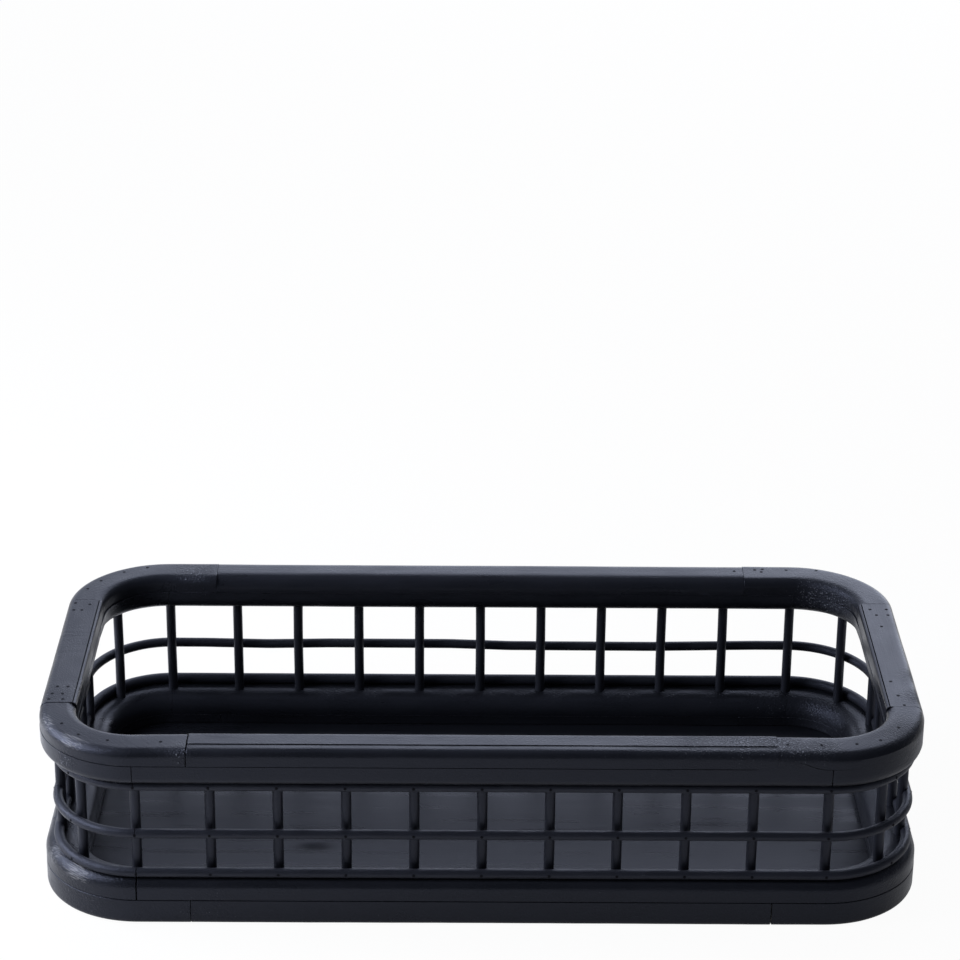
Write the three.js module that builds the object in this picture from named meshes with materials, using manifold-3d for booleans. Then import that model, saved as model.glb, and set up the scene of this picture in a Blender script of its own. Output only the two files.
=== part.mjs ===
// A gallery tray of black painted wood: two laminated rails, a cage of round spindles
// tied by three bent hoops, and a floor panel held in a groove of the bottom rail.
// Millimetres, +Z up, X along the tray, the front towards -Y.
// The origin is the middle of the footprint, on the ground.
import * as THREE from "three";
import { mergeVertices } from "three/addons/utils/BufferGeometryUtils.js";
import Module from "manifold-3d";

const wasm = await Module();
wasm.setup();

// Overall sizes, over the outer faces of the rails
const TRAY_LENGTH = 508;
const TRAY_DEPTH = 254;
const TRAY_HEIGHT = 112;
const CORNER_RADIUS = 58;

// Rails: each is glued up from a face ply, on the free side, and a cage ply, which holds the spindles
const RAIL_WIDTH = 25;
const TOP_RAIL_HEIGHT = 23;
const TOP_FACE_PLY = 10.5;
const BOTTOM_RAIL_HEIGHT = 29;
const BOTTOM_FACE_PLY = 15.5;
const EDGE_WIDTH = 5;
const EDGE_HEIGHT = 5;
const SEAM_WIDTH = 0.5;
const SEAM_DEPTH = 0.5;

// Laps that stagger the joints of the two plies, on the long and on the short sides
const LONG_LAP = 30.5;
const SHORT_LAP = 17;

// Cage
const SPINDLE_DIAMETER = 6;
const HOOP_DIAMETER = 6;
const LONG_SPINDLES = 11;
const SHORT_SPINDLES = 5;
const END_BAY_RATIO = 1.1;
const MIDDLE_HOOP_SHARE = 0.45;
const SOCKET_DEPTH = 8;

// Floor panel
const FLOOR_THICKNESS = 5;
const FLOOR_RISE = 4.4;
const GROOVE_DEPTH = 8;

// Clearances
const JOINT_GAP = 0.3;
const SOCKET_CLEARANCE = 0.25;
const HOOP_CLEARANCE = 0.3;
const PANEL_CLEARANCE = 0.3;
const SPLICE_GAP = 0.4;

// How finely round forms are faceted, and how far cutters reach past what they cut
const ARC_STEPS = 5;
const ROUND_STEPS = 3;
const ROD_SIDES = 12;
const HOOP_SIDES = 10;
const OVERSHOOT = 5;

const arcX = TRAY_LENGTH / 2 - CORNER_RADIUS;
const arcY = TRAY_DEPTH / 2 - CORNER_RADIUS;
const topRailBase = TRAY_HEIGHT - TOP_RAIL_HEIGHT;
const spindleInset = RAIL_WIDTH / 2;
const hoopInset = spindleInset - (SPINDLE_DIAMETER + HOOP_DIAMETER) / 2 - HOOP_CLEARANCE;

const railPaint = { color: 0x232428, roughness: 0.42, metalness: 0 };
const rodPaint = { color: 0x1f2024, roughness: 0.48, metalness: 0 };
const floorPaint = { color: 0x292b30, roughness: 0.36, metalness: 0 };

/** Turns a closed geometry into a solid that can be joined and cut. */
function solidOf(geometry) {
  const bare = geometry.clone();
  bare.deleteAttribute("normal");
  bare.deleteAttribute("uv");
  const merged = mergeVertices(bare);
  return new wasm.Manifold(new wasm.Mesh({
    numProp: 3,
    vertProperties: new Float32Array(merged.attributes.position.array),
    triVerts: new Uint32Array(merged.index.array),
  }));
}

/** Turns a solid back into a geometry. */
function geometryOf(solid) {
  const mesh = solid.getMesh();
  const geometry = new THREE.BufferGeometry();
  geometry.setAttribute("position", new THREE.BufferAttribute(mesh.vertProperties, mesh.numProp));
  geometry.setIndex(new THREE.BufferAttribute(mesh.triVerts, 1));
  geometry.computeVertexNormals();
  return geometry;
}

/** The tray's rounded rectangle, drawn inside the rails' outer face by inset, from the front left arc's end. */
function outline(inset, Kind = THREE.Shape) {
  const radius = CORNER_RADIUS - inset;
  const path = new Kind();
  path.moveTo(-arcX, inset - TRAY_DEPTH / 2);
  path.lineTo(arcX, inset - TRAY_DEPTH / 2);
  path.absarc(arcX, -arcY, radius, -Math.PI / 2, 0);
  path.absarc(arcX, arcY, radius, 0, Math.PI / 2);
  path.absarc(-arcX, arcY, radius, Math.PI / 2, Math.PI);
  path.absarc(-arcX, -arcY, radius, Math.PI, Math.PI * 1.5);
  return path;
}

/** A flat plate of that outline between two heights. */
function plate(inset, bottom, top) {
  const geometry = new THREE.ExtrudeGeometry(outline(inset), {
    depth: top - bottom,
    bevelEnabled: false,
    curveSegments: ARC_STEPS,
  });
  return geometry.translate(0, 0, bottom);
}

/** A whole rail ring between two heights, with all four edges rounded over. */
function railRing(bottom, top) {
  const shape = outline(0);
  shape.holes.push(outline(RAIL_WIDTH, THREE.Path));
  const edgeHeight = Math.min(EDGE_HEIGHT, (top - bottom) / 2.5);
  const edgeWidth = Math.min(EDGE_WIDTH, RAIL_WIDTH / 2.5);
  const geometry = new THREE.ExtrudeGeometry(shape, {
    depth: top - bottom - 2 * edgeHeight,
    bevelEnabled: true,
    bevelThickness: edgeHeight,
    bevelSize: edgeWidth,
    bevelOffset: -edgeWidth,
    bevelSegments: ROUND_STEPS,
    curveSegments: ARC_STEPS,
  });
  return geometry.translate(0, 0, bottom + edgeHeight);
}

/** A box between two opposite corners. */
function block(...corners) {
  const box = new THREE.Box3().setFromPoints(corners.map((corner) => new THREE.Vector3(...corner)));
  const size = box.getSize(new THREE.Vector3());
  const centre = box.getCenter(new THREE.Vector3());
  return solidOf(new THREE.BoxGeometry(size.x, size.y, size.z).translate(centre.x, centre.y, centre.z));
}

/** An upright round rod between two heights. */
function rod(x, y, bottom, top, radius) {
  const geometry = new THREE.CylinderGeometry(radius, radius, top - bottom, ROD_SIDES);
  return geometry.rotateX(Math.PI / 2).translate(x, y, (bottom + top) / 2);
}

/** A curve through given stations, which an extrusion visits one by one. */
class StationPath extends THREE.Curve {
  constructor(stations) {
    super();
    this.stations = stations;
  }

  getPoint(t, target = new THREE.Vector3()) {
    const place = t * (this.stations.length - 1);
    const index = Math.min(Math.floor(place), this.stations.length - 2);
    return target.lerpVectors(this.stations[index], this.stations[index + 1], place - index);
  }

  getUtoTmapping(u) {
    return u;
  }
}

/** A rod bent round the outside of the spindles, whose ends meet at the front left end spindle. */
function hoop(height) {
  const stations = outline(hoopInset, THREE.Path)
    .getPoints(ARC_STEPS)
    .map((point) => new THREE.Vector3(point.x, point.y, height));
  stations[0].x += SPLICE_GAP / 2;
  stations.at(-1).x -= SPLICE_GAP / 2;
  const section = new THREE.Shape(
    Array.from({ length: HOOP_SIDES }, (_, side) => {
      const angle = (side / HOOP_SIDES) * Math.PI * 2;
      return new THREE.Vector2(Math.cos(angle), Math.sin(angle)).multiplyScalar(HOOP_DIAMETER / 2);
    }),
  );
  return new THREE.ExtrudeGeometry(section, {
    steps: stations.length - 1,
    extrudePath: new StationPath(stations),
  });
}

/** Places along one side: end spindles on the arc ends, even bays between, the end bays wider by a ratio. */
function rowPlaces(reach, count, endRatio) {
  const bay = (2 * reach) / (count - 3 + 2 * endRatio);
  return Array.from({ length: count }, (_, index) => {
    if (index === 0) return -reach;
    if (index === count - 1) return reach;
    return (index - (count - 1) / 2) * bay;
  });
}

/** Every spindle's name and place in plan. */
function spindlePlaces() {
  const rowX = TRAY_LENGTH / 2 - spindleInset;
  const rowY = TRAY_DEPTH / 2 - spindleInset;
  const diagonal = (CORNER_RADIUS - spindleInset) * Math.SQRT1_2;
  const places = [];
  for (const [side, sign] of [["front", -1], ["back", 1]]) {
    rowPlaces(arcX, LONG_SPINDLES, END_BAY_RATIO).forEach((x, index) => {
      places.push({ name: `${side}_spindle_${String(index + 1).padStart(2, "0")}`, x, y: sign * rowY });
    });
  }
  for (const [side, sign] of [["left", -1], ["right", 1]]) {
    rowPlaces(arcY, SHORT_SPINDLES, 1).forEach((y, index) => {
      places.push({ name: `${side}_spindle_${String(index + 1).padStart(2, "0")}`, x: sign * rowX, y });
    });
  }
  for (const { name, signX, signY } of cornerPlaces()) {
    places.push({
      name: `corner_spindle_${name}`,
      x: signX * (arcX + diagonal),
      y: signY * (arcY + diagonal),
    });
  }
  return places;
}

/** The four corners' names and signs. */
function cornerPlaces() {
  return [
    { name: "front_left", signX: -1, signY: -1 },
    { name: "front_right", signX: 1, signY: -1 },
    { name: "back_right", signX: 1, signY: 1 },
    { name: "back_left", signX: -1, signY: 1 },
  ];
}

/**
 * The eight pieces of one rail, cut from its ring so that the joints of the two plies are staggered:
 * a corner's face ply runs on along the long side, and its cage ply along the short side.
 */
function railPieces(label, ring, rail) {
  const halfGap = JOINT_GAP / 2;
  const outX = TRAY_LENGTH / 2 + OVERSHOOT;
  const outY = TRAY_DEPTH / 2 + OVERSHOOT;
  const low = rail.bottom - OVERSHOOT;
  const high = rail.top + OVERSHOOT;
  const faceZ = rail.faceUp ? [rail.seam + halfGap, high] : [low, rail.seam - halfGap];
  const cageZ = rail.faceUp ? [low, rail.seam - halfGap] : [rail.seam + halfGap, high];
  const pieces = [];

  for (const { name, signX, signY } of cornerPlaces()) {
    const at = (x, y, z) => [signX * x, signY * y, z];
    const quarter = block(at(arcX + halfGap, arcY + halfGap, low), at(outX, outY, high));
    const faceTongue = block(
      at(arcX - LONG_LAP + halfGap, arcY + halfGap, faceZ[0]),
      at(arcX + CORNER_RADIUS / 2, outY, faceZ[1]),
    );
    const cageTongue = block(
      at(arcX + halfGap, arcY - SHORT_LAP + halfGap, cageZ[0]),
      at(outX, arcY + CORNER_RADIUS / 2, cageZ[1]),
    );
    const cutter = quarter.add(faceTongue).add(cageTongue);
    pieces.push([`${label}_corner_${name}`, ring.intersect(cutter)]);
  }

  for (const [name, sign] of [["front", -1], ["back", 1]]) {
    const at = (x, y, z) => [x, sign * y, z];
    const wholeReach = arcX - LONG_LAP - halfGap;
    const cageReach = arcX - halfGap;
    const whole = block(at(-wholeReach, arcY, low), at(wholeReach, outY, high));
    const cagePly = block(at(-cageReach, arcY, cageZ[0]), at(cageReach, outY, cageZ[1]));
    pieces.push([`${label}_${name}`, ring.intersect(whole.add(cagePly))]);
  }

  for (const [name, sign] of [["left", -1], ["right", 1]]) {
    const at = (x, y, z) => [sign * x, y, z];
    const wholeReach = arcY - SHORT_LAP - halfGap;
    const faceReach = arcY - halfGap;
    const whole = block(at(arcX, -wholeReach, low), at(outX, wholeReach, high));
    const facePly = block(at(arcX, -faceReach, faceZ[0]), at(outX, faceReach, faceZ[1]));
    pieces.push([`${label}_${name}`, ring.intersect(whole.add(facePly))]);
  }
  return pieces;
}

/** A rail's ring with its seam line and the spindles' sockets cut into it. */
function drilledRing(rail, places) {
  const radius = SPINDLE_DIAMETER / 2 + SOCKET_CLEARANCE;
  const [bottom, top] = rail.faceUp
    ? [rail.bottom - OVERSHOOT, rail.bottom + SOCKET_DEPTH]
    : [rail.top - SOCKET_DEPTH, rail.top + OVERSHOOT];
  const seam = [rail.seam - SEAM_WIDTH / 2, rail.seam + SEAM_WIDTH / 2];
  const seamLine = solidOf(plate(-OVERSHOOT, ...seam)).subtract(solidOf(plate(SEAM_DEPTH, ...seam)));
  const sockets = places.map(({ x, y }) => solidOf(rod(x, y, bottom, top, radius)));
  return sockets.reduce(
    (ring, socket) => ring.subtract(socket),
    solidOf(railRing(rail.bottom, rail.top)).subtract(seamLine),
  );
}

const tray = new THREE.Group();

/** Adds one named piece to the tray. */
function addPiece(name, geometry, paint) {
  const mesh = new THREE.Mesh(geometry, new THREE.MeshStandardMaterial(paint));
  mesh.name = name;
  tray.add(mesh);
}

const places = spindlePlaces();

// Top rail
const topRail = { bottom: topRailBase, top: TRAY_HEIGHT, seam: TRAY_HEIGHT - TOP_FACE_PLY, faceUp: true };
for (const [name, solid] of railPieces("top_rail", drilledRing(topRail, places), topRail)) {
  addPiece(name, geometryOf(solid), railPaint);
}

// Bottom rail, grooved for the floor panel
const bottomRail = { bottom: 0, top: BOTTOM_RAIL_HEIGHT, seam: BOTTOM_FACE_PLY, faceUp: false };
const floorTop = FLOOR_RISE + FLOOR_THICKNESS;
const groove = plate(RAIL_WIDTH - GROOVE_DEPTH, FLOOR_RISE - PANEL_CLEARANCE, floorTop + PANEL_CLEARANCE);
const bottomRing = drilledRing(bottomRail, places).subtract(solidOf(groove));
for (const [name, solid] of railPieces("bottom_rail", bottomRing, bottomRail)) {
  addPiece(name, geometryOf(solid), railPaint);
}

// Floor panel
const panelInset = RAIL_WIDTH - GROOVE_DEPTH + PANEL_CLEARANCE;
addPiece("floor_panel", plate(panelInset, FLOOR_RISE, floorTop), floorPaint);

// Spindles, each let into a socket in both rails
const spindleFoot = BOTTOM_RAIL_HEIGHT - SOCKET_DEPTH + JOINT_GAP;
const spindleHead = topRailBase + SOCKET_DEPTH - JOINT_GAP;
for (const { name, x, y } of places) {
  addPiece(name, rod(x, y, spindleFoot, spindleHead, SPINDLE_DIAMETER / 2), rodPaint);
}

// Hoops: one on the bottom rail, one under the top rail and one between
const intoEdge = Math.max(0, EDGE_WIDTH - hoopInset) / EDGE_WIDTH;
const edgeDrop = EDGE_HEIGHT * (1 - Math.sqrt(1 - intoEdge ** 2));
const bottomHoop = BOTTOM_RAIL_HEIGHT - edgeDrop + HOOP_CLEARANCE + HOOP_DIAMETER / 2;
const topHoop = topRailBase + edgeDrop - HOOP_CLEARANCE - HOOP_DIAMETER / 2;
const middleHoop = bottomHoop + (topHoop - bottomHoop) * MIDDLE_HOOP_SHARE;
addPiece("top_hoop", hoop(topHoop), rodPaint);
addPiece("middle_hoop", hoop(middleHoop), rodPaint);
addPiece("bottom_hoop", hoop(bottomHoop), rodPaint);

export default tray;
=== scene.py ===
"""Looks of a decorative tray: glued rails, a cage of round rods and a plywood floor in worn black paint.

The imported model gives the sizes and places. Every rail piece is rebuilt as two glued plies with routed
edges, every rod and hoop as a slightly uneven turned rod, and pin nails are added where the maker drove
them.
"""

import logging
import math
from dataclasses import dataclass, field
from enum import Enum
from typing import Any

import bpy
import numpy as np
from mathutils import Matrix, Vector
from mathutils.bvhtree import BVHTree

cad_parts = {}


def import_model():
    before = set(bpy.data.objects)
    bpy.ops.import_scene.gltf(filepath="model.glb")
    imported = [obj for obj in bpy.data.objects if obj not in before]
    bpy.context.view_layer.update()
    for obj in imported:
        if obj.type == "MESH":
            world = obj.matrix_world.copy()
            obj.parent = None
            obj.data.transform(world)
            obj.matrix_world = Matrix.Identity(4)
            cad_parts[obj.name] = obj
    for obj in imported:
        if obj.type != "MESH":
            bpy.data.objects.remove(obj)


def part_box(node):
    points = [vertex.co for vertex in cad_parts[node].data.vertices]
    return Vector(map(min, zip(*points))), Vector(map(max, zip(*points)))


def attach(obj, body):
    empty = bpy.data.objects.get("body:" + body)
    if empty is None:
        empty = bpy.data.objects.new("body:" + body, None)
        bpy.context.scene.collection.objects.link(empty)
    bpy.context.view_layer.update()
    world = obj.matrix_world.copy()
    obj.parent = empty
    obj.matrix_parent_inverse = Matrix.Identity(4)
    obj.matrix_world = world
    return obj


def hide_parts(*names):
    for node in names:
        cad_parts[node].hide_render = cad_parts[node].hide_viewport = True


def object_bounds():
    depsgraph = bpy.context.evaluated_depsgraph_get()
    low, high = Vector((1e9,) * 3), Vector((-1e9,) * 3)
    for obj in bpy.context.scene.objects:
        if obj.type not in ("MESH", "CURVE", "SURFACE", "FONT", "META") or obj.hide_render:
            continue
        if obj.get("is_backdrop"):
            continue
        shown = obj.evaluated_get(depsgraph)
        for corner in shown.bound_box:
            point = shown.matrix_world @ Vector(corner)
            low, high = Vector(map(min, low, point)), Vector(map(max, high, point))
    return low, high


LOG = logging.getLogger("tray")
Array = np.ndarray
Tree = bpy.types.NodeTree
Socket = bpy.types.NodeSocket
Piece = bpy.types.Object
Finish = bpy.types.Material
Pair = tuple[float, float]
Triple = tuple[float, float, float]
Four = tuple[float, float, float, float]
Five = tuple[float, float, float, float, float]
MM = 0.001
BODY = "root"
QUARTER = math.pi / 2
SHARP_DEG = 32


class Slot(Enum):
    """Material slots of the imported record."""

    RAIL = "rail_paint"
    ROD = "rod_paint"
    FLOOR = "floor_paint"


class FreeSide(Enum):
    """The way a ply's routed face looks, away from the glue line."""

    UP = 1
    DOWN = -1


class Mark(Enum):
    """Ways in which the paint of a place differs from the rest."""

    # Grey of rubbed paint; at the front-left corners and on the right bar's outer edge the grey is also a
    # painted highlight.
    SCUFF_AND_HIGHLIGHT = "scuff"
    # Sandy paint; at the back-right inner corners and along the back ridge its pale specks are also painted
    # glints.
    GRIT_AND_GLINT = "grit"
    DRY = "dry"


class Part(Enum):
    """Parts of a ply's section that are treated in their own way."""

    FLAT = 0
    ROUND = 1
    OUTER_SEAM = 2


def hex_to_linear(code: str) -> Four:
    """Turns an sRGB hex colour into linear red, green, blue and alpha.

    Args:
        code: A colour such as #1a2b3c.

    Returns:
        Four numbers from 0 to 1.
    """
    channels = np.array([int(code[i : i + 2], 16) for i in (1, 3, 5)]) / 255
    linear = np.where(channels <= 0.04045, channels / 12.92, ((channels + 0.055) / 1.055) ** 2.4)
    return (float(linear[0]), float(linear[1]), float(linear[2]), 1.0)


def per_metre(size_mm: float) -> float:
    """Gives the texture scale at which one feature of a noise is that many millimetres wide."""
    return 1.0 / (size_mm * MM)


def add_node(
    tree: Tree,
    kind: str,
    settings: dict[str | int, Any] | None = None,
    links: dict[str | int, Socket] | None = None,
    out: str | int = 0,
) -> Socket:
    """Adds one node, sets its options and socket values, links its inputs and picks an output.

    Args:
        tree: The node tree that takes the node.
        kind: The node's type, without the prefix of all shader nodes.
        settings: Values by the name of a node option, or by the name or number of an input socket.
        links: Output sockets by the name or number of the input that they feed.
        out: Name or number of the output that is handed back.

    Returns:
        The output socket.
    """
    node = tree.nodes.new(f"ShaderNode{kind}")
    for name, value in (settings or {}).items():
        if isinstance(name, str) and name in node.bl_rna.properties:
            setattr(node, name, value)
        else:
            node.inputs[name].default_value = value
    for name, socket in (links or {}).items():
        tree.links.new(socket, node.inputs[name])
    return node.outputs[out]


def lattice_noise(a: Array, b: Array, seed: int) -> Array:
    """Gives smooth noise over two coordinates.

    Each whole-number cell corner has a random height, and heights between corners are eased with the cubic
    3t squared minus 2t cubed along both coordinates.

    Args:
        a: First coordinate, in cells.
        b: Second coordinate, in cells, of a shape that fits a.
        seed: Picks the random heights.

    Returns:
        Values from 0 to 1.
    """
    count = 64
    table = np.random.default_rng(seed).random((count, count))
    a, b = np.broadcast_arrays(a, b)
    col, row = np.floor(a).astype(int), np.floor(b).astype(int)
    fa, fb = a - col, b - row
    ea, eb = fa * fa * (3 - 2 * fa), fb * fb * (3 - 2 * fb)
    left, right = col % count, (col + 1) % count
    near, far = row % count, (row + 1) % count
    low = table[left, near] * (1 - ea) + table[right, near] * ea
    high = table[left, far] * (1 - ea) + table[right, far] * ea
    return low * (1 - eb) + high * eb


@dataclass(frozen=True)
class NoiseGrid:
    """A piece's coordinates, one for each ring and one for each place on a ring, and its seed."""

    along: Array
    place: Array
    seed: int

    def patches(self, cell: Pair, number: int = 0) -> Array:
        """Gives smooth noise over the piece.

        Args:
            cell: Size of a patch, by the two coordinates.
            number: Picks one of the piece's noises.

        Returns:
            Values from 0 to 1, by ring and place.
        """
        long, wide = cell
        return lattice_noise(self.along[:, None] / long, self.place[None, :] / wide, self.seed + number)


def turns(sides: int) -> Array:
    """Gives the angles of a circle's points."""
    return np.linspace(0, 2 * math.pi, sides, endpoint=False)


@dataclass
class Shell:
    """One closed skin: its points, its faces, and what the paint reads at each point."""

    points: Array
    quads: Array
    caps: list[Array]
    grain: Array
    wear: Array
    grit: Array

    def volume(self) -> float:
        """Adds up the signed volume of the cones from the origin to every face."""
        p, total = self.points, 0.0
        for faces in [self.quads, *[c[None, :] for c in self.caps]]:
            for k in range(1, faces.shape[1] - 1):
                corner = np.cross(p[faces[:, k]], p[faces[:, k + 1]])
                total += float(np.einsum("ij,ij->", p[faces[:, 0]], corner)) / 6
        return total

    def outward(self) -> "Shell":
        """Turns every face over where the skin is inside out."""
        if self.volume() < 0:
            self.quads = self.quads[:, ::-1]
            self.caps = [c[::-1] for c in self.caps]
        return self


def skin(rings: Array, grain: Array, wear: Array, grit: Array | None = None) -> Shell:
    """Closes a grid of rings into a skin, with one flat face over each end.

    Args:
        rings: Points by ring, by place on the ring, by axis. Each ring closes on itself.
        grain: Wood-fibre coordinates of the same shape.
        wear: Wear from 0 to 1, which at a few worn places also paints in a highlight, or dryness from 0 to
            -1, by ring and place.
        grit: Sandiness of the paint from -1 to 1, whose pale specks at a few places are also painted
            glints, by ring and place, or None for plain paint.

    Returns:
        The closed skin with its faces outwards.
    """
    count, around = rings.shape[:2]
    ring = np.arange(count - 1)[:, None] * around
    here = np.arange(around)[None, :]
    after = (here + 1) % around
    quads = np.stack([ring + here, ring + after, ring + around + after, ring + around + here], -1)
    first = np.arange(around)
    caps = [first[::-1], first + (count - 1) * around]
    rough = np.zeros(count * around) if grit is None else np.clip(grit, -1, 1).ravel()
    worn = np.clip(wear, -1, 1).ravel()
    points, faces = rings.reshape(-1, 3), quads.reshape(-1, 4)
    return Shell(points, faces, caps, grain.reshape(-1, 3), worn, rough).outward()


def make_piece(name: str, shells: list[Shell], material: Finish) -> Piece:
    """Puts skins into one mesh object, with its fibre, wear and grit attributes and its material.

    Args:
        name: The piece's name.
        shells: Its closed skins.
        material: Its finish.

    Returns:
        The object, at the origin.
    """
    offsets = np.cumsum([0] + [len(s.points) for s in shells])
    faces = [f for s, o in zip(shells, offsets) for f in (s.quads + o).tolist()]
    faces += [(c + o).tolist() for s, o in zip(shells, offsets) for c in s.caps]
    mesh = bpy.data.meshes.new(name)
    mesh.from_pydata(np.concatenate([s.points for s in shells]).tolist(), [], faces)
    grain = mesh.attributes.new("grain", "FLOAT_VECTOR", "POINT")
    grain.data.foreach_set("vector", np.concatenate([s.grain for s in shells]).astype(np.float32).ravel())
    for label, values in (("wear", [s.wear for s in shells]), ("grit", [s.grit for s in shells])):
        layer = mesh.attributes.new(label, "FLOAT", "POINT")
        layer.data.foreach_set("value", np.concatenate(values).astype(np.float32))
    mesh.materials.append(material)
    mesh.shade_smooth()
    mesh.set_sharp_from_angle(angle=math.radians(SHARP_DEG))
    mesh.update()
    piece = bpy.data.objects.new(name, mesh)
    bpy.context.scene.collection.objects.link(piece)
    return piece


def settle(piece: Piece, slot: Slot, *nodes: str) -> None:
    """Rides a piece on the tray, and lets it stand for CAD nodes.

    Args:
        piece: The finished piece.
        slot: The record's material slot; not used.
        nodes: The CAD nodes that it replaces.
    """
    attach(piece, BODY)
    if nodes:
        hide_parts(*nodes)
    faces = len(piece.data.polygons)
    LOG.info("%s: %d faces, stands for %s", piece.name, faces, ", ".join(nodes) or "no node")


@dataclass(frozen=True)
class SatinBlackPaint:
    """Black satin enamel brushed on wood.

    The eye sees a bluish black with a soft sheen, wood fibres telegraphing through the film, a slightly
    uneven gloss from the brush, sandy paint with pale specks that are partly dust dried in and partly
    painted glints, and grey streaks where edges were rubbed, which at a few worn places also stand in as a
    painted highlight. Grit below zero stands for paint that flowed out smoother than the rest, and wear
    below zero for dry paint that has sunk into the wood and lost its sheen.
    """

    name: str
    dark: str = "#131417"
    pale: str = "#1f2024"
    # Grey of rubbed paint, which at a few worn places also stands in as a painted highlight.
    scuff: str = "#72716f"
    # Pale specks of dust, which where the paint is sandiest also stand in as painted glints.
    speck: str = "#737579"
    tint: str = "#e2e8ff"
    roughness: float = 0.30
    gloss_spread: float = 0.14
    grit_dulls: float = 0.2
    scuff_dulls: float = 0.15
    specular: float = 0.27
    dry_specular: float = 0.03
    # Length along the fibres and width of one feature.
    fibre_mm: Pair = (22.0, 1.0)
    streak_mm: Pair = (8.0, 0.5)
    film_mm: Pair = (0.9, 0.9)
    mottle_mm: Pair = (34.0, 12.0)
    sand_mm: Pair = (1.0, 1.0)
    speck_gain: float = 0.3
    relief_mm: float = 0.14
    relief_strength: float = 0.6
    film_relief: float = 0.6
    sand_relief: float = 14.0
    torn_relief: float = 4.0
    # The noise values between which grey scuffs and painted highlights, and pale specks and painted glints,
    # come up, and gloss goes from bright to dull.
    scuff_and_highlight_from: Pair = (1.3, 1.6)
    speck_from: Pair = (0.8, 0.92)
    gloss_from: Pair = (0.3, 0.7)

    def noise(self, tree: Tree, grain: Socket, size_mm: Pair, detail: float) -> Socket:
        """Adds a noise drawn out along the fibres.

        Args:
            tree: The material's nodes.
            grain: Fibre coordinates.
            size_mm: Length and width of a feature.
            detail: Octaves.

        Returns:
            The noise's value.
        """
        long, wide = (per_metre(size) for size in size_mm)
        scale = (long, wide, wide)
        laid = add_node(tree, "Mapping", {"Scale": scale}, {"Vector": grain})
        return add_node(tree, "TexNoise", {"Scale": 1.0, "Detail": detail}, {"Vector": laid})

    def colour(self, tree: Tree, mottle: Socket, scuffed_and_highlit: Socket, dust_and_glints: Socket) -> Socket:
        """Adds the colour: two blacks, grey of rubbed paint and painted highlight, and pale specks of dust
        and painted glints.

        Args:
            tree: The material's nodes.
            mottle: Blend of the two blacks.
            scuffed_and_highlit: Share of grey: bare, rubbed paint, and at a few worn places a painted
                highlight.
            dust_and_glints: Sandiness plus its noise, whose pale specks are partly dust and partly painted
                glints.

        Returns:
            The colour.
        """
        tones = {"data_type": "RGBA", 6: hex_to_linear(self.dark), 7: hex_to_linear(self.pale)}
        coat = add_node(tree, "Mix", tones, {0: mottle}, out=2)
        grey = {"data_type": "RGBA", 7: hex_to_linear(self.scuff)}
        rubbed = add_node(tree, "Mix", grey, {0: scuffed_and_highlit, 6: coat}, out=2)
        window = {"From Min": self.speck_from[0], "From Max": self.speck_from[1]}
        specks = add_node(tree, "MapRange", window, {"Value": dust_and_glints})
        dust = {"data_type": "RGBA", 7: hex_to_linear(self.speck)}
        return add_node(tree, "Mix", dust, {0: specks, 6: rubbed}, out=2)

    def material(self) -> Finish:
        """Builds the paint from the piece's fibre, wear and grit attributes.

        Returns:
            The node material.
        """
        material = bpy.data.materials.new(self.name)
        material.use_nodes = True
        tree = material.node_tree
        paint = tree.nodes["Principled BSDF"]
        paint.inputs["Specular Tint"].default_value = hex_to_linear(self.tint)
        grain = add_node(tree, "Attribute", {"attribute_name": "grain"}, out="Vector")
        wear = add_node(tree, "Attribute", {"attribute_name": "wear"}, out="Fac")
        grit = add_node(tree, "Attribute", {"attribute_name": "grit"}, out="Fac")
        rough = add_node(tree, "Math", {"operation": "MAXIMUM", 1: 0.0}, {0: grit})
        fibres = self.noise(tree, grain, self.fibre_mm, 3.0)
        film = self.noise(tree, grain, self.film_mm, 1.0)
        mottle = self.noise(tree, grain, self.mottle_mm, 3.0)
        sand = self.noise(tree, grain, self.sand_mm, 2.0)
        streaks = self.noise(tree, grain, self.streak_mm, 2.0)

        # Grey comes up where wear and streaks add up high: rubbed paint, and at the strongest worn places a
        # painted highlight.
        rubbed = add_node(tree, "Math", {"operation": "ADD"}, {0: wear, 1: streaks})
        window = {"From Min": self.scuff_and_highlight_from[0], "From Max": self.scuff_and_highlight_from[1]}
        scuffed_and_highlit = add_node(tree, "MapRange", window, {"Value": rubbed})
        scaled = {"operation": "MULTIPLY_ADD"}
        # Pale specks come up where sand noise and grit add up high: dust, and at the sandiest places
        # painted glints.
        dust_and_glints = add_node(tree, "Math", scaled | {1: self.speck_gain}, {0: rough, 2: sand})

        drying = {"From Min": -1.0, "From Max": 0.0, "To Min": self.dry_specular, "To Max": self.specular}
        glossy = add_node(tree, "MapRange", drying, {"Value": wear})
        shine = {
            "From Min": self.gloss_from[0],
            "From Max": self.gloss_from[1],
            "To Min": self.roughness - self.gloss_spread / 2,
            "To Max": self.roughness + self.gloss_spread / 2,
        }
        sheen = add_node(tree, "MapRange", shine, {"Value": mottle})
        dulled = add_node(tree, "Math", scaled | {1: self.grit_dulls}, {0: grit, 2: sheen})
        worn = scaled | {1: self.scuff_dulls, "use_clamp": True}
        matt = add_node(tree, "Math", worn, {0: scuffed_and_highlit, 2: dulled})

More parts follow.
